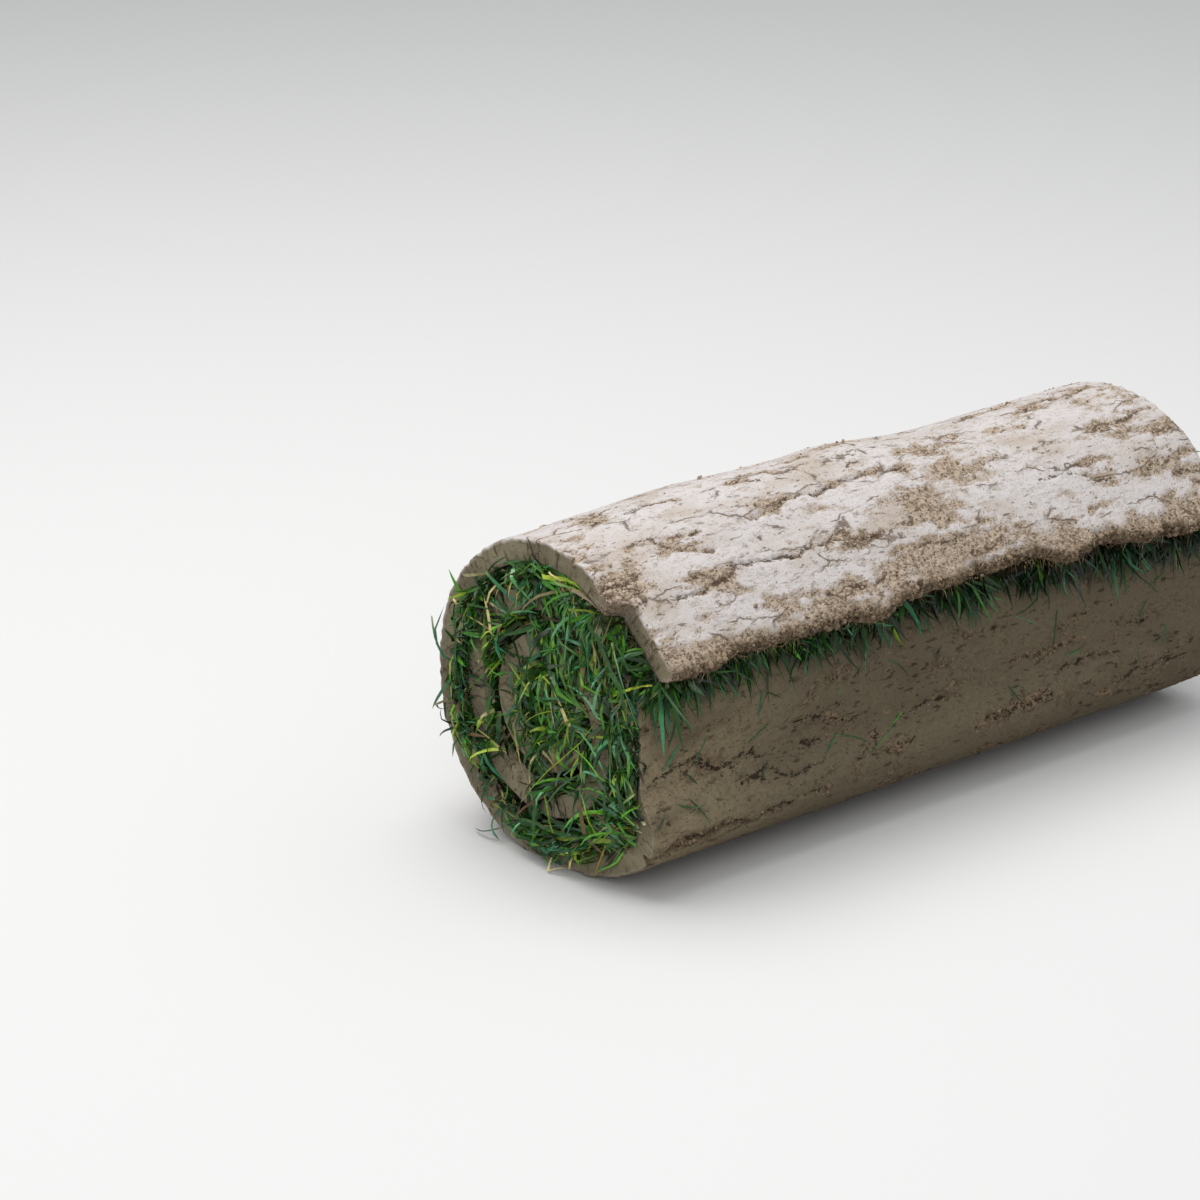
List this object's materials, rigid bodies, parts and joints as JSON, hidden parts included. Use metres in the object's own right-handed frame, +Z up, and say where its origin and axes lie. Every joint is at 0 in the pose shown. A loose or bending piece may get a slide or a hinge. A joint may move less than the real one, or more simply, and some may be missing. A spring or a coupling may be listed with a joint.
{
  "type": "turf roll",
  "caption": "Roll of cut lawn turf: a strip of soil coiled with its grass inward, lying on its sagged base, with the strip's end lifting off as a loose flap.",
  "frame": {"origin": "on the floor under the middle of the roll", "axes": "+X along the roll's axis away from the end whose flap corner is set back, +Y away from the loose flap, +Z up"},
  "size_m": [0.512, 0.2122, 0.2067],
  "materials": {
    "soil": "dry, pressed and crumbly earth",
    "grass": "matted fresh grass"
  },
  "bodies": {
    "root": {"soil_mat": "soil", "grass_sward": "grass"}
  },
  "joints": []
}
